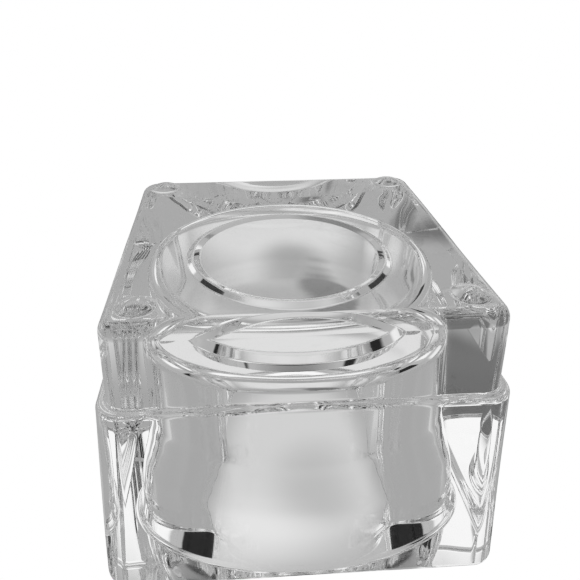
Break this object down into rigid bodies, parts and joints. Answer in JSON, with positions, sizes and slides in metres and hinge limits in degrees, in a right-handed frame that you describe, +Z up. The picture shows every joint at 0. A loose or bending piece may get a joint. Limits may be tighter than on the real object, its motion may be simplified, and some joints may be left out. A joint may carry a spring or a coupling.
{
  "type": "dappen dish",
  "caption": "Square clear glass mixing dish with a round well, a stepped foot and clear bumper feet, standing upside down on its mouth.",
  "frame": {"origin": "centre of the mouth, on the plane of the rim (z = 0), where the upside-down dish rests", "axes": "+Z up, from the mouth towards the base; +X and +Y square to the sides; -Y is the front. In use the dish is turned over, half a turn about X, and stands on the bumper feet."},
  "size_m": [0.0554, 0.0554, 0.0425],
  "materials": {
    "clear_glass": "fire-polished, clear",
    "clear_bumper": "clear soft polyurethane"
  },
  "bodies": {
    "root": {"glass_cup": "clear_glass", "foot_pad_front_left": "clear_bumper", "foot_pad_front_right": "clear_bumper", "foot_pad_back_left": "clear_bumper", "foot_pad_back_right": "clear_bumper"}
  },
  "joints": []
}
